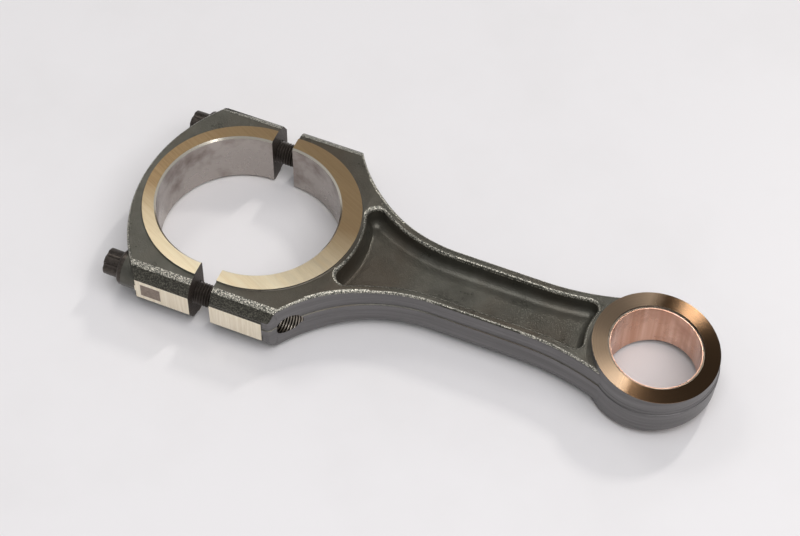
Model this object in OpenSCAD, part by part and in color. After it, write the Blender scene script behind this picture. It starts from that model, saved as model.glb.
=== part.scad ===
// Connecting rod of a medium truck diesel engine, with its bearing cap drawn back on the bolts.
// X runs from the big end to the small end, Y across the bolts and Z along both bores.
// The origin is the centre of the big-end bore in the rod.

/* [Bores] */
// Distance between the axes of the two bores
centre_distance = 217.5; // [210:0.5:225]
// Diameter of the big-end bore, which holds the bearing shells
big_bore_d = 85; // [82:0.5:86]
// Diameter of the pin bore in the bush
pin_bore_d = 46; // [44:0.5:47]
// Thickness of the bronze layer of the bush
lining_t = 0.6; // [0.4:0.1:1]
// Thickness of the steel back of the bush
backing_t = 0.9; // [0.8:0.1:1.2]

/* [Big end] */
// Thickness over the ground faces
big_face_t = 32.5; // [32:0.5:34]
// Height of the ground faces above the forging
face_step = 1.15; // [0.8:0.05:1.5]
// Width over the flat sides of the bolt bosses
boss_w = 121.5; // [120:0.5:124]
// Distance between the bolt axes
bolt_spacing = 101; // [100:0.5:102]
// Open gap between rod and cap
cap_gap = 11.8; // [0.1:0.1:16]

/* [Shank] */
// Width of the I-beam at its narrowest
shank_w = 36.7; // [34:0.1:40]
// Thickness over the flanges of the I-beam
shank_t = 24.6; // [23:0.1:28]
// Thickness of the web between the two pockets
web_t = 5.5; // [4:0.1:8]
// Thickness of each flange beside the pockets
flange_t = 5; // [4:0.5:6]

/* [Small end] */
// Outer diameter of the eye
eye_d = 65.6; // [63:0.2:67]
// Thickness of the eye at the pin axis
eye_t = 27.6; // [27:0.2:29]
// Slope of each wedge face
wedge_angle = 5.75; // [4:0.25:7]

/* [Bolts] */
// Nominal thread diameter
thread_d = 12; // [12:0.5:13]
// Length under the head
bolt_l = 70; // [60:1:72]
// Length of the plain shank under the head
plain_l = 22; // [15:1:30]
// Diameter of the flange under the head
flange_d = 19; // [18:0.5:20]
// Height of the driving head above its flange
head_h = 8.6; // [7:0.1:10]

/* [Hidden] */
$fn = 64;

forging = [0.30, 0.31, 0.29];
phosphate = [0.16, 0.14, 0.13];
backing_steel = [0.55, 0.50, 0.45];
bronze = [0.72, 0.50, 0.38];

big_r = big_bore_d / 2;
pin_r = pin_bore_d / 2;
lining_r = pin_r + lining_t;
eye_bore_r = lining_r + backing_t;
bore_chamfer = 1.2;
eye_chamfer = 0.5;
bush_recess = 0.8;

face_z = big_face_t / 2;
forged_z = face_z - face_step;
boss_y = boss_w / 2;
boss_edge_y = boss_y - 4.25;
pad_z = 7.6;
rod_face_r = 50.5;
rod_face_x = 3.75;
cap_face_r = 51;
cap_face_x = 1.5;

bolt_y = bolt_spacing / 2;
thread_r = thread_d / 2;
tapped_r = thread_r + 0.05;
cap_hole_r = thread_r + 0.3;
seat_x = 39.2;
seat_boss_r = 9.8;
spot_face_r = flange_d / 2 + 1.1;
crown_r = 89.5;
crown_x = 35;

flank_r = 83;
flank_at = [105.7, shank_w / 2 + flank_r];
neck_r = 136;
neck_at = [152, shank_w / 2 + neck_r];
taper_start_x = 46;
taper_end_x = 74;
eye_at = [centre_distance, 0];
eye_r = eye_d / 2;

pocket_gap = 56;
pocket_eye_gap = eye_r + 2.7;
pocket_corner_r = 6;
pocket_neck_corner_r = 5;

far = 200;

// Points of an arc; the first one is left out when skip is 1.
function arc(centre, r, from, to, steps, skip = 0) = [
    for (i = [skip : steps]) centre + r * [for (f = [0, 90]) cos(from + (to - from) * i / steps - f)]
];

// Angle at which one point sees another.
function bearing(from, to) = atan2(to.y - from.y, to.x - from.x);

// Point at distance ra from a and rb from b, on the left of the line from a to b when side is 1.
function meet(a, ra, b, rb, side) =
    let (
        d = norm(b - a),
        along = (ra * ra - rb * rb + d * d) / (2 * d),
        off = sqrt(ra * ra - along * along),
        u = (b - a) / d
    )
    a + along * u + side * off * [-u.y, u.x];

// A closed outline from its upper half, which runs from one point on the X axis to another.
function mirrored(half) = concat(half, [for (i = [len(half) - 2 : -1 : 1]) [half[i].x, -half[i].y]]);

// Half of the rod's plan outline: boss side, concave flank, straight shank and neck.
function rod_half() =
    let (
        start = 180 + asin((flank_at.y - boss_y) / flank_r),
        finish = 270 + asin((eye_at.x - 12 - neck_at.x) / neck_r)
    )
    concat(
        [[0, 0], [0, boss_y]],
        arc(flank_at, flank_r, start, 270, 20),
        arc(neck_at, neck_r, 270, finish, 6),
        [eye_at]
    );

// Half of the I-beam pocket's outline, with its corners rounded.
function pocket_half() =
    let (
        wall_r = flank_r + flange_t,
        neck_wall_r = neck_r + flange_t,
        c1 = meet([0, 0], pocket_gap + pocket_corner_r, flank_at, wall_r + pocket_corner_r, -1),
        c2 = meet(
            eye_at, pocket_eye_gap + pocket_neck_corner_r,
            neck_at, neck_wall_r + pocket_neck_corner_r, 1
        )
    )
    concat(
        arc([0, 0], pocket_gap, 0, bearing([0, 0], c1), 4),
        arc(c1, pocket_corner_r, 180 + bearing([0, 0], c1), bearing(c1, flank_at), 10, 1),
        arc(flank_at, wall_r, 360 + bearing(flank_at, c1), 270, 8, 1),
        arc(neck_at, neck_wall_r, 270, 360 + bearing(neck_at, c2), 3),
        arc(c2, pocket_neck_corner_r, bearing(c2, neck_at), bearing(c2, eye_at), 8, 1),
        arc(eye_at, pocket_eye_gap, bearing(eye_at, c2), 180, 4, 1)
    );

// A prism along X with the profile of the bolt bosses, flat at the sides and sloping to the faces.
module boss_profile() {
    upper = [[boss_y, pad_z], [boss_edge_y, forged_z]];
    quarter = concat(upper, [[-boss_edge_y, forged_z], [-boss_y, pad_z]]);
    rotate([90, 0, 90])
        linear_extrude(height = 2 * far, center = true)
            polygon(concat(quarter, [for (i = [3 : -1 : 0]) [quarter[i].x, -quarter[i].y]]));
}

// The thickness of the rod along X: full at the bosses, tapering to the flanges.
module side_profile() {
    half = [
        [0, forged_z], [taper_start_x, forged_z], [taper_end_x, shank_t / 2],
        [eye_at.x, shank_t / 2]
    ];
    rotate([90, 0, 0])
        linear_extrude(height = far, center = true)
            polygon(concat(half, [for (i = [len(half) - 1 : -1 : 0]) [half[i].x, -half[i].y]]));
}

// A wedge that is t thick at the pin axis and thins towards the tip of the eye.
module wedge(t) {
    reach = eye_r + 5;
    drop = reach * tan(wedge_angle);
    rotate([90, 0, 0])
        linear_extrude(height = far, center = true)
            polygon([
                [eye_at.x - reach, t / 2 + drop], [eye_at.x + reach, t / 2 - drop],
                [eye_at.x + reach, drop - t / 2], [eye_at.x - reach, -drop - t / 2]
            ]);
}

// A copy on each side of the parting plane between the two forging dies.
module both_faces() {
    for (s = [0, 1]) mirror([0, 0, s]) children();
}

// The big-end bore with a chamfer at both faces.
module big_bore() {
    cylinder(r = big_r, h = 2 * far, center = true, $fn = 128);
    both_faces()
        translate([0, 0, face_z - bore_chamfer])
            cylinder(r1 = big_r, r2 = big_r + 2 * bore_chamfer, h = 2 * bore_chamfer, $fn = 128);
}

// A cylinder along X at each bolt axis.
module at_bolts(r, from_x, to_x) {
    for (s = [-1, 1])
        translate([from_x, s * bolt_y, 0])
            rotate([0, 90, 0])
                cylinder(r = r, h = to_x - from_x);
}

// Everything on one side of the plane in which the big end is split.
module half_space(side) {
    translate([side * far / 2, 0, 0])
        cube(far, center = true);
}

module rod_blank() {
    intersection() {
        linear_extrude(height = 2 * far, center = true)
            polygon(mirrored(rod_half()));
        boss_profile();
        side_profile();
    }
    intersection() {
        translate([rod_face_x, 0, 0])
            cylinder(r = rod_face_r, h = big_face_t, center = true, $fn = 128);
        half_space(1);
    }
    intersection() {
        translate(eye_at)
            cylinder(r = eye_r, h = 2 * eye_t, center = true, $fn = 128);
        wedge(eye_t);
    }
}

module pockets() {
    both_faces()
        translate([0, 0, web_t / 2])
            linear_extrude(height = eye_t)
                polygon(mirrored(pocket_half()));
}

module eye_bore() {
    translate(eye_at)
        cylinder(r = eye_bore_r, h = 2 * eye_t, center = true, $fn = 128);
    both_faces()
        translate([eye_at.x, 0, eye_t / 2])
            rotate([0, wedge_angle, 0])
                translate([0, 0, -2 * eye_chamfer])
                    cylinder(
                        r1 = eye_bore_r - eye_chamfer, r2 = eye_bore_r + 2 * eye_chamfer,
                        h = 3 * eye_chamfer, $fn = 128
                    );
}

module rod_forging() {
    color(forging)
        difference() {
            rod_blank();
            pockets();
            big_bore();
            at_bolts(tapped_r, -1, taper_end_x);
            eye_bore();
        }
}

module cap_blank() {
    side = asin(boss_y / crown_r);
    intersection() {
        linear_extrude(height = 2 * forged_z, center = true)
            polygon(concat(
                [[0, boss_y]],
                arc([crown_x, 0], crown_r, 180 - side, 180 + side, 24),
                [[0, -boss_y]]
            ));
        boss_profile();
    }
    at_bolts(seat_boss_r, -seat_x, -seat_x / 2);
    intersection() {
        translate([cap_face_x, 0, 0])
            cylinder(r = cap_face_r, h = big_face_t, center = true, $fn = 128);
        half_space(-1);
    }
}

module bearing_cap() {
    color(forging)
        translate([-cap_gap, 0, 0])
            difference() {
                cap_blank();
                big_bore();
                at_bolts(cap_hole_r, -seat_x - 1, 1);
                at_bolts(spot_face_r, -2 * seat_x, -seat_x);
            }
}

// The six-lobe driving head, drawn along Z with its flange at z = 0.
module lobed_head() {
    lobe_r = 7.2;
    groove_r = 2.5;
    groove_at = 8.4;
    edge = 0.6;
    difference() {
        union() {
            cylinder(r = lobe_r, h = head_h - edge);
            translate([0, 0, head_h - edge])
                cylinder(r1 = lobe_r, r2 = lobe_r - edge, h = edge);
        }
        for (i = [0 : 5])
            rotate([0, 0, 60 * i])
                translate([groove_at, 0, -1])
                    cylinder(r = groove_r, h = head_h + 2);
        translate([0, 0, head_h - 1])
            cylinder(r1 = 3, r2 = 4, h = 1.5);
    }
}

module cap_bolt(side) {
    flange_h = 3;
    tip = 1.2;
    color(phosphate)
        translate([-cap_gap - seat_x, side * bolt_y, 0])
            rotate([0, 90, 0]) {
                mirror([0, 0, 1]) {
                    translate([0, 0, flange_h]) lobed_head();
                    cylinder(r = flange_d / 2, h = flange_h / 2);
                    translate([0, 0, flange_h / 2])
                        cylinder(r1 = flange_d / 2, r2 = flange_d / 2 - 1.6, h = flange_h / 2);
                }
                cylinder(r = thread_r - 0.7, h = plain_l);
                translate([0, 0, plain_l])
                    cylinder(r = thread_r, h = bolt_l - plain_l - tip);
                translate([0, 0, bolt_l - tip])
                    cylinder(r1 = thread_r, r2 = thread_r - tip, h = tip);
            }
}

// A ring of the bush, cut to the same wedge as the eye and set back from its faces.
module bush_ring(inner_r, outer_r) {
    intersection() {
        translate(eye_at)
            difference() {
                cylinder(r = outer_r, h = 2 * eye_t, center = true, $fn = 128);
                cylinder(r = inner_r, h = 3 * eye_t, center = true, $fn = 128);
            }
        wedge(eye_t - 2 * bush_recess);
    }
}

module bush_backing() {
    color(backing_steel) bush_ring(lining_r, eye_bore_r);
}

module bush_lining() {
    color(bronze) bush_ring(pin_r, lining_r);
}

rod_forging();
bearing_cap();
cap_bolt(-1);  // cap_bolt_near
cap_bolt(1);  // cap_bolt_far
bush_backing();
bush_lining();
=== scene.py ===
"""A truck engine's connecting rod, its bearing cap drawn back on two bolts, on a pale bench top."""

import math

import bpy
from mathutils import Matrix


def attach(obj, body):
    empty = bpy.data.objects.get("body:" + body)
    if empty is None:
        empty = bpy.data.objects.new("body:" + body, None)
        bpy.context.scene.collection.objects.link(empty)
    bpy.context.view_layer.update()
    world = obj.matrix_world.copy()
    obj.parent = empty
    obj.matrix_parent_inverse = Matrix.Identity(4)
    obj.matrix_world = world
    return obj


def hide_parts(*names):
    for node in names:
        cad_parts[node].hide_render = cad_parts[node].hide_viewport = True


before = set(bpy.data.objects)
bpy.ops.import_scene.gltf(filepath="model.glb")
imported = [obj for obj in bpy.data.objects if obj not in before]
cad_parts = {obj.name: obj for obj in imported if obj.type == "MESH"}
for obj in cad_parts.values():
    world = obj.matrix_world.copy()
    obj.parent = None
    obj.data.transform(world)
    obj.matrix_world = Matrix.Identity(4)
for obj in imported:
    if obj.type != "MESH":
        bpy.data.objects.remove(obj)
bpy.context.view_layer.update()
bpy.ops.object.select_all(action="DESELECT")

# Camera: a long lens looking down on the rod from the side of the near bolt.
bpy.ops.object.camera_add(
    location=(0.31862, -0.59405, 0.88427),
    rotation=(math.radians(36.095), math.radians(-0.557), math.radians(22.681)),
)
camera = bpy.context.object
camera.data.lens = 95.263
camera.data.clip_start = 0.05
bpy.context.scene.camera = camera
bpy.context.scene.view_settings.view_transform = "Standard"

# Bench top: a plain pale sheet that the rod lies on, touched by the thick side of the small end.
BENCH_Z = -0.01715


def add_material(name, colour, metallic, roughness):
    material = bpy.data.materials.new(name)
    material.use_nodes = True
    shader = material.node_tree.nodes["Principled BSDF"]
    shader.inputs["Base Color"].default_value = (*colour, 1)
    shader.inputs["Metallic"].default_value = metallic
    shader.inputs["Roughness"].default_value = roughness
    return material


def add_node(material, kind, **settings):
    """Adds a node and sets its properties and inputs; an input given a socket is linked to it."""
    node = material.node_tree.nodes.new("ShaderNode" + kind)
    for key, value in settings.items():
        if hasattr(node, key):
            setattr(node, key, value)
            continue
        plug = next(s for s in node.inputs if s.name.replace(" ", "_") == key and s.enabled)
        if isinstance(value, bpy.types.NodeSocket):
            material.node_tree.links.new(value, plug)
        else:
            plug.default_value = value
    return node


def plug_in(material, socket, name):
    shader = material.node_tree.nodes["Principled BSDF"]
    material.node_tree.links.new(socket, shader.inputs[name])


def in_place(material, scale=(1, 1, 1), turn=0, centre=(0, 0, 0)):
    """Positions on the object, moved to a centre, turned about Z and stretched."""
    spot = add_node(material, "TexCoord").outputs["Object"]
    shifted = add_node(material, "Mapping", Vector=spot, Location=[-c for c in centre])
    turned = add_node(
        material, "Mapping", Vector=shifted.outputs[0], Rotation=(0, 0, math.radians(turn))
    )
    return add_node(material, "Mapping", Vector=turned.outputs[0], Scale=scale).outputs[0]


def noise(material, at, scale, detail=3, rough=0.5):
    return add_node(
        material, "TexNoise", Vector=at, Scale=scale, Detail=detail, Roughness=rough
    ).outputs[0]


def spread(material, value, low, high, to_low=0.0, to_high=1.0):
    """Stretches the part of a pattern between low and high over the range to_low to to_high."""
    node = add_node(material, "MapRange", Value=value, From_Min=low, From_Max=high)
    node.inputs["To Min"].default_value = to_low
    node.inputs["To Max"].default_value = to_high
    return node.outputs[0]


def blend_colours(material, amount, first, second):
    """Goes from the first colour to the second; each is a colour or a socket."""
    node = add_node(material, "Mix", data_type="RGBA")
    material.node_tree.links.new(amount, node.inputs[0])
    for plug, colour in ((node.inputs[6], first), (node.inputs[7], second)):
        if isinstance(colour, bpy.types.NodeSocket):
            material.node_tree.links.new(colour, plug)
        else:
            plug.default_value = (*colour, 1)
    return node.outputs[2]


def raise_bumps(material, height, distance, strength=1.0, under=None):
    node = add_node(material, "Bump", Height=height, Distance=distance, Strength=strength)
    if under is not None:
        material.node_tree.links.new(under, node.inputs["Normal"])
    return node.outputs[0]


bench_top = add_material("bench_top", (0.80, 0.785, 0.79), 0, 0.45)
clouds = noise(bench_top, in_place(bench_top), 9, 4, 0.6)
plug_in(
    bench_top,
    blend_colours(
        bench_top, spread(bench_top, clouds, 0.45, 0.8), (0.81, 0.795, 0.80), (0.77, 0.755, 0.755)
    ),
    "Base Color",
)
bpy.ops.mesh.primitive_plane_add(size=6, location=(0.08, 0, BENCH_Z))
bench = bpy.context.object
bench.name = "bench"
bench.data.materials.append(bench_top)

# Light: a dim room with a broad soft light above and in front, a window behind the rod on the left
# that shines on the bearing ring, and a lamp behind the small end.
def add_light(name, at, tilt, size, size_y, energy, colour=(1, 1, 1)):
    bpy.ops.object.light_add(type="AREA", location=at)
    light = bpy.context.object
    light.name = name
    light.data.shape = "RECTANGLE"
    light.data.size = size
    light.data.size_y = size_y
    light.data.energy = energy
    light.data.color = colour
    light.rotation_euler = [math.radians(angle) for angle in tilt]


add_light("ceiling", (0.55, -0.45, 1.5), (-16, 18, 0), 1.6, 1.4, 20.5, (0.995, 0.985, 1.0))
add_light("window", (-0.75, 0.62, 1.25), (-24, 0, 50), 0.45, 0.35, 2.4, (1.0, 0.97, 0.92))
add_light("lamp", (0.38, 1.04, 1.07), (-44, 0, -9), 0.08, 0.20, 4.2, (1.0, 0.97, 0.93))

room = bpy.data.worlds.new("room")
room.use_nodes = True
room.node_tree.nodes["Background"].inputs["Color"].default_value = (0.96, 0.97, 1.0, 1)
height = add_node(
    room, "SeparateXYZ", Vector=add_node(room, "TexCoord").outputs["Generated"]
).outputs[2]
room.node_tree.links.new(
    spread(room, height, 0.10, 0.80, 0.50, 0.28),
    room.node_tree.nodes["Background"].inputs["Strength"],
)
bpy.context.scene.world = room

# Rod forging: one steel drop forging, an I-beam with an eye at one end and half of the bearing
# housing at the other. It is forged in two dies that meet in the plane z = 0, so it is shaped
# here as its upper half and mirrored, and then bored and ground as in the machine shop.
BIG_R = 0.0425  # radius of the big-end bore
FACE_Z = 0.01625  # height of the ground ring faces above the middle plane
BOSS_Y = 0.06075  # half of the width over the milled pads
PAD_END_X = 0.0290  # where the rod's pads end
BOLT_Y = 0.0505  # half of the distance between the bolts
PITCH = 0.0015  # advance of their thread in one turn
EYE_X = 0.2175  # distance between the two bores
EYE_R = 0.0328  # outer radius of the small end
EYE_Z = 0.0138  # half of its thickness at the bore's axis
EYE_TILT = math.radians(5.75)  # slope of each of its wedge faces
BUSH_R = 0.0245  # outer radius of the bush pressed into it
SHANK_Y = 0.01835  # half of the shank's least width
POCKET_Y = 0.01335  # half of the pocket's least width
WAIST_X = (0.1057, 0.152)  # ends of the shank's parallel part
FLANK_AT = (WAIST_X[0], 0.10135)  # centre of the arc from the shank to the big end
NECK_AT = (WAIST_X[1], 0.15435)  # centre of the arc from the shank to the eye
START_Z = -0.0010  # solids start here, a little below the plane in which they are mirrored
OVERLAP = 0.005  # length by which they are drawn past the split face, before they are cut there
GRIND_TURN = 25  # degrees from X to the grinding strokes
CODE_AT = (-0.0335, -BOSS_Y, 0)  # centre of the dark etched patch on the cap's near pad
CODE_REACH = (0.0056, 0.0020, 0.0045)  # how far it reaches from there in X, Y and Z

forged_skin = add_material("forged_skin", (0.04, 0.042, 0.036), 0.60, 0.36)
skin_at = in_place(forged_skin)
scale_pits = noise(forged_skin, skin_at, 1300, 3, 0.6)
dents = noise(forged_skin, skin_at, 330, 3, 0.55)
patches = noise(forged_skin, skin_at, 45, 4, 0.6)
oil = noise(forged_skin, skin_at, 22, 3, 0.5)
plug_in(
    forged_skin,
    blend_colours(
        forged_skin,
        spread(forged_skin, oil, 0.46, 0.66, 0, 0.75),
        blend_colours(
            forged_skin,
            spread(forged_skin, patches, 0.3, 0.7),
            (0.062, 0.059, 0.047),
            (0.140, 0.136, 0.113),
        ),
        (0.066, 0.050, 0.034),
    ),
    "Base Color",
)
plug_in(forged_skin, spread(forged_skin, patches, 0.3, 0.75, 0.24, 0.42), "Roughness")
plug_in(
    forged_skin,
    raise_bumps(
        forged_skin,
        scale_pits,
        0.00030,
        0.55,
        raise_bumps(forged_skin, dents, 0.00030, 0.25),
    ),
    "Normal",
)

# Rims: bright specks on the dark skin, partly rubbed wear and partly painted highlights where the
# rounded rims catch the light.
rubbed_edge = add_material("rubbed_edge", (0.20, 0.19, 0.16), 0.8, 0.30)
edge_at = in_place(rubbed_edge)
wear_and_glint_specks = noise(rubbed_edge, edge_at, 1500, 3, 0.6)
plug_in(
    rubbed_edge,
    blend_colours(
        rubbed_edge, spread(rubbed_edge, wear_and_glint_specks, 0.46, 0.62), (0.10, 0.10, 0.085), (0.75, 0.71, 0.60)
    ),
    "Base Color",
)
plug_in(rubbed_edge, raise_bumps(rubbed_edge, wear_and_glint_specks, 0.00035, 0.8), "Normal")

blasted_slope = add_material("blasted_slope", (0.15, 0.145, 0.12), 0.7, 0.34)
blast_at = in_place(blasted_slope)
blast = noise(blasted_slope, blast_at, 1300, 4, 0.65)
plug_in(
    blasted_slope,
    blend_colours(
        blasted_slope,
        spread(blasted_slope, blast, 0.44, 0.74),
        (0.042, 0.040, 0.032),
        (0.20, 0.19, 0.15),
    ),
    "Base Color",
)
plug_in(blasted_slope, raise_bumps(blasted_slope, blast, 0.00030, 0.7), "Normal")

# Sides of the forging: a lighter grey than its top, partly a painted sheen for the light the flanks
# catch, with drawn lines along them.
forged_side = add_material("forged_side", (0.16, 0.152, 0.152), 0.6, 0.36)
side_at = in_place(forged_side)
drawn = noise(forged_side, in_place(forged_side, (0.25, 0.25, 6)), 70, 4, 0.6)
plug_in(
    forged_side,
    blend_colours(
        forged_side,
        spread(forged_side, drawn, 0.35, 0.7),
        (0.125, 0.120, 0.118),
        (0.195, 0.186, 0.186),
    ),
    "Base Color",
)
plug_in(forged_side, spread(forged_side, drawn, 0.3, 0.7, 0.30, 0.42), "Roughness")
plug_in(
    forged_side,
    raise_bumps(forged_side, noise(forged_side, side_at, 1100, 3, 0.6), 0.00018, 0.5),
    "Normal",
)

ground_face = add_material("ground_face", (0.36, 0.26, 0.14), 1, 0.36)
ground_face.node_tree.nodes["Principled BSDF"].inputs["Anisotropic"].default_value = 0.6
strokes = noise(ground_face, in_place(ground_face, (28, 900, 28), GRIND_TURN), 1, 4, 0.7)
broad = noise(ground_face, in_place(ground_face, (8, 150, 8), GRIND_TURN), 1, 2)
# The ring's face is painted lighter and more golden towards the near side, a painted reflection of
# the light there; the far side stays dark brown.
to_near_side = add_node(
    ground_face, "VectorMath", operation="DOT_PRODUCT", Vector=in_place(ground_face)
)
to_near_side.inputs[1].default_value = (0.10, -0.99, 0)
near_side_reflection = spread(ground_face, to_near_side.outputs["Value"], 0.0, 0.048)
plug_in(
    ground_face,
    blend_colours(
        ground_face,
        spread(ground_face, strokes, 0.38, 0.66, 0.0, 0.55),
        blend_colours(
            ground_face,
            near_side_reflection,
            blend_colours(ground_face, broad, (0.25, 0.165, 0.084), (0.33, 0.23, 0.125)),
            blend_colours(ground_face, broad, (0.74, 0.58, 0.35), (1.0, 0.90, 0.66)),
        ),
        blend_colours(ground_face, near_side_reflection, (0.42, 0.30, 0.17), (1.0, 0.92, 0.70)),
    ),
    "Base Color",
)
plug_in(ground_face, spread(ground_face, strokes, 0.3, 0.7, 0.44, 0.30), "Roughness")
plug_in(ground_face, raise_bumps(ground_face, strokes, 0.00005, 0.6), "Normal")
stroke_angle = math.radians(GRIND_TURN)
across = add_node(ground_face, "CombineXYZ", X=-math.sin(stroke_angle), Y=math.cos(stroke_angle))
plug_in(ground_face, across.outputs[0], "Tangent")

bored_wall = add_material("bored_wall", (0.55, 0.53, 0.51), 1, 0.30)
stains = noise(bored_wall, in_place(bored_wall), 38, 5, 0.6)
plug_in(
    bored_wall,
    blend_colours(
        bored_wall, spread(bored_wall, stains, 0.48, 0.66), (0.43, 0.39, 0.36), (0.22, 0.175, 0.155)
    ),
    "Base Color",
)
plug_in(bored_wall, spread(bored_wall, stains, 0.4, 0.7, 0.26, 0.42), "Roughness")
plug_in(
    bored_wall,
    raise_bumps(
        bored_wall, noise(bored_wall, in_place(bored_wall, (1, 1, 30)), 120, 2), 0.00002, 0.4
    ),
    "Normal",
)

bright_edge = add_material("bright_edge", (0.82, 0.76, 0.64), 1, 0.16)
plug_in(
    bright_edge,
    raise_bumps(bright_edge, noise(bright_edge, in_place(bright_edge), 300, 2), 0.00005, 0.4),
    "Normal",
)

milled_pad = add_material("milled_pad", (0.72, 0.66, 0.55), 1, 0.42)
pad_grain = noise(milled_pad, in_place(milled_pad, (900, 60, 60)), 1, 3, 0.6)
pad_at = add_node(milled_pad, "SeparateXYZ", Vector=in_place(milled_pad, centre=CODE_AT))
inside = []
for way, reach in enumerate(CODE_REACH):
    distance = add_node(milled_pad, "Math", operation="ABSOLUTE")
    milled_pad.node_tree.links.new(pad_at.outputs[way], distance.inputs[0])
    inside.append(spread(milled_pad, distance.outputs[0], reach + 0.0002, reach - 0.0002))
etched = inside[0]
for edge in inside[1:]:
    both = add_node(milled_pad, "Math", operation="MULTIPLY")
    milled_pad.node_tree.links.new(etched, both.inputs[0])
    milled_pad.node_tree.links.new(edge, both.inputs[1])
    etched = both.outputs[0]
etch_grain = noise(milled_pad, in_place(milled_pad), 900, 3, 0.6)
plug_in(
    milled_pad,
    blend_colours(
        milled_pad,
        etched,
        blend_colours(
            milled_pad,
            spread(milled_pad, pad_grain, 0.35, 0.7),
            (0.86, 0.77, 0.60),
            (0.98, 0.90, 0.74),
        ),
        blend_colours(milled_pad, etch_grain, (0.16, 0.12, 0.10), (0.42, 0.35, 0.29)),
    ),
    "Base Color",
)
plug_in(milled_pad, raise_bumps(milled_pad, pad_grain, 0.00003, 0.4), "Normal")

turned_face = add_material("turned_face", (0.42, 0.30, 0.17), 1, 0.26)
turned_face.node_tree.nodes["Principled BSDF"].inputs["Anisotropic"].default_value = 0.92
from_eye = in_place(turned_face, centre=(EYE_X, 0, 0))
outward = add_node(turned_face, "SeparateXYZ", Vector=from_eye)
plug_in(turned_face, from_eye, "Tangent")
from_axis = add_node(turned_face, "VectorMath", operation="LENGTH")
turned_face.node_tree.links.new(
    add_node(turned_face, "CombineXYZ", X=outward.outputs[0], Y=outward.outputs[1]).outputs[0],
    from_axis.inputs[0],
)
ring_at = add_node(turned_face, "CombineXYZ", X=from_axis.outputs["Value"]).outputs[0]
rings = noise(turned_face, ring_at, 1800, 2)
# The left part of the eye's face is painted lighter and the right part dark brown, a painted
# reflection of how the light falls on the turned face.
lit_left_side = spread(turned_face, outward.outputs[0], -0.004, -0.012)
plug_in(
    turned_face,
    blend_colours(
        turned_face,
        lit_left_side,
        blend_colours(turned_face, rings, (0.060, 0.034, 0.017), (0.125, 0.075, 0.042)),
        blend_colours(turned_face, rings, (0.19, 0.135, 0.088), (0.29, 0.215, 0.15)),
    ),
    "Base Color",
)
plug_in(turned_face, spread(turned_face, lit_left_side, 0, 1, 0.155, 0.34), "Roughness")
plug_in(turned_face, raise_bumps(turned_face, rings, 0.00003, 0.35), "Normal")

split_face = add_material("split_face", (0.07, 0.055, 0.045), 0.6, 0.5)
plug_in(
    split_face,
    raise_bumps(split_face, noise(split_face, in_place(split_face), 350, 6, 0.7), 0.0006, 0.8),
    "Normal",
)

tapped_wall = add_material("tapped_wall", (0.20, 0.18, 0.15), 1, 0.30)
wall_stains = noise(tapped_wall, in_place(tapped_wall), 400, 3)
wave_scale = math.tau / (20 * PITCH)  # at scale 1, the wave repeats every tau / 20
# The thread's turns are dark stripes between lighter crests: a painted shade in the grooves, with
# bump for their relief.
turns = add_node(
    tapped_wall, "TexWave", Vector=in_place(tapped_wall), Scale=wave_scale
).outputs["Fac"]
plug_in(
    tapped_wall,
    blend_colours(
        tapped_wall,
        turns,
        (0.05, 0.04, 0.03),
        blend_colours(tapped_wall, wall_stains, (0.30, 0.26, 0.21), (0.70, 0.64, 0.55)),
    ),
    "Base Color",
)
plug_in(tapped_wall, raise_bumps(tapped_wall, turns, 0.0006, 0.9), "Normal")

FINISHES = [
    forged_skin,
    rubbed_edge,
    blasted_slope,
    forged_side,
    ground_face,
    bored_wall,
    bright_edge,
    milled_pad,
    turned_face,
    split_face,
    tapped_wall,
]


def name_piece(name, *materials):
    piece = bpy.context.object
    piece.name = name
    piece.data.name = name
    bpy.ops.object.transform_apply(location=True, rotation=True, scale=True)
    for material in materials:
        piece.data.materials.append(material)
    return piece


def cylinder(name, material, at, radius, length, vertices, along_x=False):
    """A cylinder along Z, or along X, with its middle at a point."""
    bpy.ops.mesh.primitive_cylinder_add(
        vertices=vertices,
        radius=radius,
        depth=length,
        location=at,
        rotation=(0, math.pi / 2 if along_x else 0, 0),
    )
    return name_piece(name, material)


def use(piece):
    """Makes one piece the only selected one."""
    if bpy.context.object and bpy.context.object.mode != "OBJECT":
        bpy.ops.object.mode_set(mode="OBJECT")
    bpy.ops.object.select_all(action="DESELECT")
    piece.select_set(True)
    bpy.context.view_layer.objects.active = piece


def pick(piece, wanted):
    """Selects the faces of a piece that pass a test, and opens it for editing."""
    use(piece)
    bpy.ops.object.mode_set(mode="EDIT")
    bpy.ops.mesh.select_mode(type="FACE")
    bpy.ops.mesh.select_all(action="DESELECT")
    bpy.ops.object.mode_set(mode="OBJECT")
    for face in piece.data.polygons:
        face.select = wanted(face)
    bpy.ops.object.mode_set(mode="EDIT")


def open_whole(piece):
    """Opens a piece for editing with all of it selected."""
    use(piece)
    bpy.ops.object.mode_set(mode="EDIT")
    bpy.ops.mesh.select_all(action="SELECT")


def shut():
    bpy.ops.object.mode_set(mode="OBJECT")


def bevel_rims(piece, wanted, offset, segments):
    """Bevels the edges round the faces that pass a test."""
    pick(piece, wanted)
    bpy.ops.mesh.region_to_loop()
    bpy.ops.mesh.bevel(offset=offset, segments=segments, clamp_overlap=False)
    shut()


def join_solid(piece, tool, operation="DIFFERENCE"):
    """Cuts away or adds a tool's shape, with the tool's own finish on the new faces."""
    use(piece)
    cut = piece.modifiers.new("cut", "BOOLEAN")
    cut.object = tool
    cut.operation = operation
    cut.solver = "MANIFOLD"
    cut.material_mode = "TRANSFER"
    bpy.ops.object.modifier_apply(modifier=cut.name)
    bpy.data.objects.remove(tool)


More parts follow.
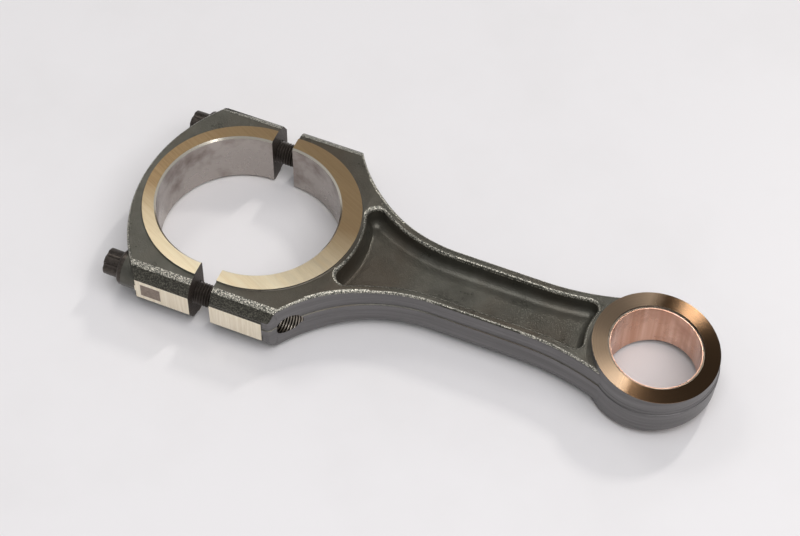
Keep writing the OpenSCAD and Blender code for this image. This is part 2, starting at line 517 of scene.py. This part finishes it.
def start_outline(point, height=0):
    """A single corner, from which line_to and sweep draw a flat outline."""
    bpy.ops.object.select_all(action="DESELECT")
    bpy.ops.mesh.primitive_plane_add(size=0.001, location=(point[0], point[1], height))
    outline = name_piece("outline")
    bpy.ops.object.mode_set(mode="EDIT")
    bpy.ops.mesh.select_mode(type="VERT")
    bpy.ops.mesh.merge(type="CENTER")
    return outline


def line_to(here, there):
    bpy.ops.mesh.extrude_region_move(
        TRANSFORM_OT_translate={"value": (there[0] - here[0], there[1] - here[1], 0)}
    )
    return there


def sweep(here, centre, there, steps):
    """Draws an arc about a centre from here to there, the short way round."""
    first = math.atan2(here[1] - centre[1], here[0] - centre[0])
    last = math.atan2(there[1] - centre[1], there[0] - centre[0])
    turn = (last - first + math.pi) % (2 * math.pi) - math.pi
    bpy.ops.mesh.spin(steps=steps, angle=-turn, center=(*centre, 0), axis=(0, 0, 1))
    return there


def draw_side(here, there, arc):
    """Draws on to a point, straight or along an arc with a centre and a number of steps."""
    if arc:
        return sweep(here, arc[0], there, arc[1])
    return line_to(here, there)


def mirrored(point):
    return (point[0], -point[1])


def draw_outline(start, half, across=(), height=0):
    """Draws an outline that is alike on both sides of the X axis.

    One half is given as a list of sides. A side is its end point, followed by the centre and the
    number of steps if it is an arc. The side that leads across to the other half is a line, or the
    arc given for it; there is none if the half ends on the axis.
    """
    outline = start_outline(start, height)
    corners = [start]
    for end, *arc in half:
        corners.append(draw_side(corners[-1], end, arc))
    here = corners.pop()
    if here[1]:
        here = draw_side(here, mirrored(here), across)
    for _, *arc in reversed(half):
        if arc:
            arc = (mirrored(arc[0]), arc[1])
        here = draw_side(here, mirrored(corners.pop()), arc)
    return outline


def fill_outline():
    """Closes the outline with one face that points up, and selects it."""
    outline = bpy.context.object
    bpy.ops.mesh.select_all(action="SELECT")
    bpy.ops.mesh.remove_doubles(threshold=0.00001)
    bpy.ops.mesh.edge_face_add()
    shut()
    if outline.data.polygons[0].normal.z < 0:
        bpy.ops.object.mode_set(mode="EDIT")
        bpy.ops.mesh.flip_normals()
        shut()
    pick(outline, lambda face: True)


def raise_face(height):
    bpy.ops.mesh.extrude_region_move(TRANSFORM_OT_translate={"value": (0, 0, height)})


def draw_in(by, height):
    """Narrows the selected face all round while it moves on, as the draft of a die does."""
    bpy.ops.mesh.inset(thickness=by, depth=height, use_boundary=True)


def slice_off(piece, point, outward):
    """Cuts away all that lies outside a plane and closes the cut."""
    open_whole(piece)
    bpy.ops.mesh.bisect(plane_co=point, plane_no=outward, clear_outer=True, use_fill=True)
    shut()


def smooth_by_angle(piece, degrees=30):
    use(piece)
    bpy.ops.object.shade_smooth_by_angle(angle=math.radians(degrees))
    even = piece.modifiers.new("even", "WEIGHTED_NORMAL")
    even.keep_sharp = True
    bpy.ops.object.modifier_apply(modifier=even.name)


def mirror_down(piece):
    """Cuts the solid open in the plane z = 0 and adds the lower half."""
    slice_off(piece, (0, 0, 0), (0, 0, -1))
    pick(piece, lambda face: face.normal.z < -0.99 and abs(face.center.z) < 0.00001)
    bpy.ops.mesh.delete(type="FACE")
    shut()
    lower = piece.modifiers.new("lower", "MIRROR")
    lower.use_axis = (False, False, True)
    lower.merge_threshold = 0.00001
    bpy.ops.object.modifier_apply(modifier=lower.name)


def forge_up(piece):
    """Raises an outline to half of a forging: flash land, shoulder and drafted sides."""
    fill_outline()
    raise_face(0.0032)
    draw_in(0.0005, 0.0003)
    draw_in(0.0003, 0.0126)
    shut()
    for material in FINISHES:
        piece.data.materials.append(material)


def set_finish(face, material):
    face.material_index = FINISHES.index(material)


# The upper half of the I-beam, drawn from its split face down one side to the eye and back.
rod = draw_outline(
    (-OVERLAP, BOSS_Y),
    [
        ((0.0316, BOSS_Y),),
        ((0.03416, 0.05927), (0.0316, 0.05775), 4),
        ((WAIST_X[0], SHANK_Y), FLANK_AT, 30),
        ((WAIST_X[1], SHANK_Y),),
        ((0.205, 0.0291), NECK_AT, 12),
    ],
    height=START_Z,
)
forge_up(rod)
# Side faces take the lighter side finish, partly a painted sheen.
for face in rod.data.polygons:
    if abs(face.normal.z) < 0.6:
        set_finish(face, forged_side)


PAD_SUNK = 0.002  # how far the middle of a pad's block lies inside the pad's surface
BOSS_SLOPES = (  # two planes above each pad: a point's y and z, and the outward direction's
    ((BOSS_Y - 0.0003, 0.0076), (0.870, 0.493)),
    ((0.0575, 0.0129), (0.620, 0.785)),
)


def shape_boss(piece, from_x, to_x):
    """Adds the block for the flat pad on each side and slopes the forging above it."""
    for side in (-1, 1):
        bpy.ops.mesh.primitive_cube_add(
            size=1,
            location=((from_x + to_x) / 2, side * (BOSS_Y - PAD_SUNK), 0.003),
            scale=(to_x - from_x, 2 * PAD_SUNK, 0.010),
        )
        join_solid(piece, name_piece("pad", forged_skin), "UNION")
        for (y, z), (out, up) in BOSS_SLOPES:
            slice_off(piece, (0, side * y, z), (0, side * out, up))


shape_boss(rod, -0.003, PAD_END_X)

# The block that thins the shank, with a slow curve where it starts beside the bearing ring.
bpy.ops.mesh.primitive_cube_add(size=1, location=(0.173, 0, 0.0223), scale=(0.192, 0.2, 0.020))
taper = name_piece("taper", forged_skin)
pick(taper, lambda face: face.normal.x < -0.9)
for back, up in (
    (0.005, 0.0002),
    (0.005, 0.0005),
    (0.010, 0.0012),
    (0.006, 0.0006),
    (0.008, 0.0004),
):
    bpy.ops.mesh.extrude_region_move(TRANSFORM_OT_translate={"value": (-back, 0, up)})
shut()
join_solid(rod, taper)

# The pocket's cutter: its outline at the top, drawn in by draft and then by the floor's fillet.
pocket = draw_outline(
    (0.056, 0),
    [
        ((0.05302, 0.01801), (0, 0), 6),
        ((0.06171, 0.02514), (0.05871, 0.01994), 8),
        ((WAIST_X[0], POCKET_Y), FLANK_AT, 14),
        ((WAIST_X[1], POCKET_Y),),
        ((0.17755, 0.01568), NECK_AT, 6),
        ((0.18328, 0.00944), (0.17846, 0.01077), 6),
    ],
    across=((EYE_X, 0), 6),
)
fill_outline()
bpy.ops.transform.translate(value=(0, 0, 0.0200))
bpy.ops.mesh.flip_normals()
raise_face(-0.0010)
draw_in(0.0008, 0.0115)
for by, down in ((0.00035, 0.0018), (0.0010, 0.0015), (0.0015, 0.0010), (0.0018, 0.00045)):
    draw_in(by, down)
shut()
pocket.data.materials.append(forged_skin)
open_whole(pocket)
bpy.ops.mesh.normals_make_consistent(inside=False)
shut()
join_solid(rod, pocket)


def roll_edges(piece):
    """Rounds the edges round the top of a forging and gives them bright specks, partly rubbed wear
    and partly painted highlights.
    """
    bevel_rims(piece, lambda face: face.normal.z > 0.97 and face.center.z > 0.0100, 0.0018, 4)
    for face in piece.data.polygons:
        on_slope = 0.6 < abs(face.normal.y) < 0.9 and abs(face.normal.x) < 0.01
        if on_slope and face.center.z > 0.0072:
            set_finish(face, blasted_slope)
        elif 0.25 < face.normal.z < 0.975 and face.center.z > 0.0095:
            set_finish(face, rubbed_edge)


roll_edges(rod)

# The eye, with its own flash land, and the raised bearing ring.
bpy.ops.mesh.primitive_circle_add(
    vertices=160, radius=EYE_R + 0.0003, fill_type="NGON", location=(EYE_X, 0, -0.0015)
)
eye = name_piece("eye", forged_side, turned_face)
pick(eye, lambda face: True)
raise_face(0.0035)
draw_in(0.0004, 0.0003)
raise_face(0.0022)
draw_in(0.0002, 0.0003)
draw_in(-0.0003, 0.0060)
raise_face(0.0140)
shut()
slice_off(eye, (EYE_X, 0, EYE_Z), (math.sin(EYE_TILT), 0, math.cos(EYE_TILT)))
for face in eye.data.polygons:
    face.material_index = int(face.normal.z > 0.9 and face.center.z > 0.008)
bevel_rims(eye, lambda face: face.material_index == 1, 0.0003, 2)
join_solid(rod, eye, "UNION")

RING_X = 0.00375  # the rod's half of the ring lies off the bore's centre
RING_R = 0.0505


def ring_tool(name, centre_x, radius):
    """The raised bearing ring as a solid disc, running out below into the forging in a fillet."""
    bpy.ops.object.select_all(action="DESELECT")
    bpy.ops.mesh.primitive_circle_add(
        vertices=192, radius=radius + 0.0055, fill_type="NGON", location=(centre_x, 0, START_Z)
    )
    disc = name_piece(name, forged_skin, ground_face)
    pick(disc, lambda face: True)
    raise_face(0.0045)
    for by, up in ((0.0012, 0.0012), (0.0012, 0.0028), (0.0015, 0.0060), (0.0008, 0.0014)):
        draw_in(by, up)
    draw_in(0.0005, 0.00035)
    draw_in(0.0003, 0.0002)
    raise_face(0.0008)
    shut()
    for face in disc.data.polygons:
        face.material_index = int(face.normal.z > 0.9 and face.center.z > 0.016)
    return disc


def part_off(piece, at_x, outward):
    """Cuts half a forging off at the split, mirrors it down and finishes its cut faces."""
    slice_off(piece, (at_x, 0, 0), (outward, 0, 0))
    mirror_down(piece)
    for face in piece.data.polygons:
        on_side = abs(face.normal.y) > 0.99 and abs(face.center.y) > BOSS_Y - 0.0001
        if face.normal.x * outward > 0.99 and abs(face.center.x - at_x) < 0.00001:
            set_finish(face, split_face)
        elif on_side and face.center.x < PAD_END_X:
            set_finish(face, milled_pad)


join_solid(rod, ring_tool("ring", RING_X, RING_R), "UNION")
part_off(rod, 0, -1)


def bore_out(piece, at_x):
    """Bores the bearing housing and chamfers both of its edges."""
    join_solid(piece, cylinder("boring_bar", bored_wall, (at_x, 0, 0), BIG_R, 0.1, 192))
    for side in (-1, 1):
        bpy.ops.mesh.primitive_cone_add(
            vertices=192,
            radius1=BIG_R - 0.0002,
            radius2=BIG_R + 0.0022,
            depth=0.0024,
            location=(at_x, 0, side * FACE_Z),
            rotation=(0 if side > 0 else math.pi, 0, 0),
        )
        join_solid(piece, name_piece("chamfer_tool", bright_edge))


bore_out(rod, 0)
for side in (-1, 1):
    at = (0.029, side * BOLT_Y, 0)
    join_solid(rod, cylinder("tap_drill", tapped_wall, at, 0.00605, 0.090, 48, along_x=True))
join_solid(rod, cylinder("eye_reamer", bored_wall, (EYE_X, 0, 0), BUSH_R, 0.1, 160))
smooth_by_angle(rod)
rod.name = "rod_forged_body"
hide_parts("rod_forging")
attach(rod, "rod")

# Bearing cap: the other half of the housing, forged with the rod and split from it. Two round
# bosses carry the bolt heads.
GAP = 0.0118  # by which the cap is drawn back from the rod
SEAT_X = -GAP - 0.0392  # plane of the seats under the bolt heads
CROWN_AT = (0.035 - GAP, 0)  # centre of the arc round the cap's back
CAP_RING_X = 0.0015 - GAP
CAP_RING_R = 0.051
BOLT_BOSS_R = 0.0098
SPOT_FACE_R = 0.0106
CLEARANCE_R = 0.0063

cap = draw_outline(
    (OVERLAP - GAP, BOSS_Y),
    [
        ((-0.04252, BOSS_Y),),
        ((-0.0663, 0), CROWN_AT, 32),
    ],
    height=START_Z,
)
forge_up(cap)
shape_boss(cap, -0.0420, 0.003 - GAP)
roll_edges(cap)
join_solid(cap, ring_tool("cap_ring", CAP_RING_X, CAP_RING_R), "UNION")
part_off(cap, -GAP, 1)
for side in (-1, 1):
    boss_at = (SEAT_X + 0.009, side * BOLT_Y, 0)
    boss = cylinder("bolt_boss", forged_skin, boss_at, BOLT_BOSS_R, 0.018, 64, along_x=True)
    join_solid(cap, boss, "UNION")
    facer_at = (SEAT_X - 0.020, side * BOLT_Y, 0)
    join_solid(
        cap, cylinder("spot_facer", bored_wall, facer_at, SPOT_FACE_R, 0.040, 64, along_x=True)
    )
    drill_at = (SEAT_X + 0.020, side * BOLT_Y, 0)
    join_solid(cap, cylinder("drill", tapped_wall, drill_at, CLEARANCE_R, 0.080, 48, along_x=True))
bore_out(cap, -GAP)
smooth_by_angle(cap)
cap.name = "cap_forged_body"
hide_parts("bearing_cap")
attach(cap, "cap")

# Cap bolts: M12 x 1.5 screws of dark phosphated steel, with a flange and a six-lobed head that a
# socket fits over. The thread is rolled; the blank above it is thinner.
CREST_R = 0.00595
ROOT_R = 0.0052
BLANK_R = 0.0053
FLANGE_R = 0.0095
HEAD_R = 0.0072

phosphate = add_material("phosphate", (0.03, 0.026, 0.022), 0.75, 0.34)
soot = noise(phosphate, in_place(phosphate), 700, 4, 0.6)
plug_in(
    phosphate,
    blend_colours(phosphate, soot, (0.025, 0.021, 0.018), (0.12, 0.10, 0.085)),
    "Base Color",
)
plug_in(phosphate, spread(phosphate, soot, 0.3, 0.7, 0.26, 0.46), "Roughness")
plug_in(phosphate, raise_bumps(phosphate, soot, 0.00008, 0.4), "Normal")

# One turn of the thread's section is wound into a coil, whose ragged ends are cut off.
pen = (ROOT_R, 0)
thread = start_outline(pen)
for out, rise in ((CREST_R, 0.00062), (CREST_R, 0.00088), (ROOT_R, PITCH)):
    bpy.ops.mesh.extrude_region_move(
        TRANSFORM_OT_translate={"value": (out - pen[0], 0, rise - pen[1])}
    )
    pen = (out, rise)
shut()
coil = thread.modifiers.new("coil", "SCREW")
coil.axis = "Z"
coil.angle = math.tau
coil.screw_offset = PITCH
coil.iterations = 33
coil.steps = 36
coil.render_steps = 36
coil.use_merge_vertices = True
coil.merge_threshold = 0.00002
use(thread)
bpy.ops.object.modifier_apply(modifier=coil.name)
open_whole(thread)
bpy.ops.mesh.remove_doubles(threshold=0.00001)
bpy.ops.mesh.normals_make_consistent(inside=False)
shut()
slice_off(thread, (0, 0, 0.0016), (0, 0, -1))
slice_off(thread, (0, 0, 0.0484), (0, 0, 1))
open_whole(thread)
bpy.ops.transform.translate(value=(0, 0, 0.0204))
shut()
thread.data.materials.append(phosphate)

head = cylinder("bolt", phosphate, (0, 0, -0.0071), HEAD_R, 0.0090, 64)
bevel_rims(head, lambda face: face.normal.z < -0.9, 0.0007, 3)
pick(head, lambda face: face.normal.z < -0.99)
draw_in(0.0024, 0)
draw_in(0.0008, -0.0008)
shut()
for lobe in range(6):
    angle = math.radians(60 * lobe)
    groove_at = (0.0084 * math.cos(angle), 0.0084 * math.sin(angle), -0.008)
    join_solid(head, cylinder("groove_tool", phosphate, groove_at, 0.0025, 0.03, 32))
flange = cylinder("flange", phosphate, (0, 0, -0.0015), FLANGE_R, 0.003, 96)
bevel_rims(flange, lambda face: face.normal.z < -0.9, 0.0014, 4)
join_solid(head, flange, "UNION")
join_solid(head, cylinder("blank", phosphate, (0, 0, 0.01125), BLANK_R, 0.0235, 64), "UNION")
join_solid(head, thread, "UNION")
open_whole(head)
bpy.ops.transform.rotate(value=-math.pi / 2, orient_axis="Y", center_override=(0, 0, 0))
bpy.ops.transform.translate(value=(SEAT_X, -BOLT_Y, 0))
shut()
smooth_by_angle(head, 35)
near_bolt = head
near_bolt.name = "near_cap_bolt"
bpy.ops.object.duplicate()
far_bolt = bpy.context.object
far_bolt.name = "far_cap_bolt"
open_whole(far_bolt)
bpy.ops.transform.translate(value=(0, 2 * BOLT_Y, 0))
shut()
for bolt, node, body in (
    (near_bolt, "cap_bolt_near", "bolt_near"),
    (far_bolt, "cap_bolt_far", "bolt_far"),
):
    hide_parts(node)
    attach(bolt, body)

# Small-end bush: a rolled steel strip lined with bronze, pressed into the eye and cut to its wedge.
PIN_R = 0.023
LINING_R = 0.0236  # where the bronze meets the steel
BUSH_Z = 0.0130  # half of the bush's length at its axis

# The steel is given a dark tone with grain, partly a painted shade for the dark groove round the
# bush's recessed end.
backing = add_material("bush_steel", (0.30, 0.26, 0.21), 1, 0.30)
backing_grain = noise(backing, in_place(backing), 500, 3)
plug_in(
    backing,
    blend_colours(backing, backing_grain, (0.07, 0.055, 0.042), (0.22, 0.19, 0.155)),
    "Base Color",
)

bronze = add_material("bronze", (0.72, 0.46, 0.34), 1, 0.24)
reamed = noise(bronze, in_place(bronze, (160, 160, 6)), 1, 3, 0.6)
worn = noise(bronze, in_place(bronze), 55, 4, 0.6)
plug_in(
    bronze,
    blend_colours(
        bronze,
        spread(bronze, worn, 0.45, 0.72),
        blend_colours(
            bronze, spread(bronze, reamed, 0.35, 0.65), (0.54, 0.30, 0.20), (0.78, 0.53, 0.42)
        ),
        (0.50, 0.29, 0.21),
    ),
    "Base Color",
)
plug_in(bronze, spread(bronze, worn, 0.3, 0.7, 0.20, 0.36), "Roughness")
plug_in(bronze, raise_bumps(bronze, reamed, 0.00002, 0.4), "Normal")


def bush_layer(name, inner, outer, material):
    """A ring between two radii, cut off on both sides to the eye's wedge, with broken edges."""
    layer = cylinder(name, material, (EYE_X, 0, 0), outer, 0.06, 160)
    join_solid(layer, cylinder("reamer", material, (EYE_X, 0, 0), inner, 0.08, 160))
    for side in (-1, 1):
        slice_off(
            layer,
            (EYE_X, 0, side * BUSH_Z),
            (math.sin(EYE_TILT), 0, side * math.cos(EYE_TILT)),
        )
    bevel_rims(layer, lambda face: abs(face.normal.z) > 0.9, 0.00015, 2)
    smooth_by_angle(layer)
    return layer


steel_layer = bush_layer("bush_steel_layer", LINING_R, BUSH_R, backing)
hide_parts("bush_backing")
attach(steel_layer, "rod")
bronze_layer = bush_layer("bush_bronze_layer", PIN_R, LINING_R, bronze)
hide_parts("bush_lining")
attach(bronze_layer, "rod")
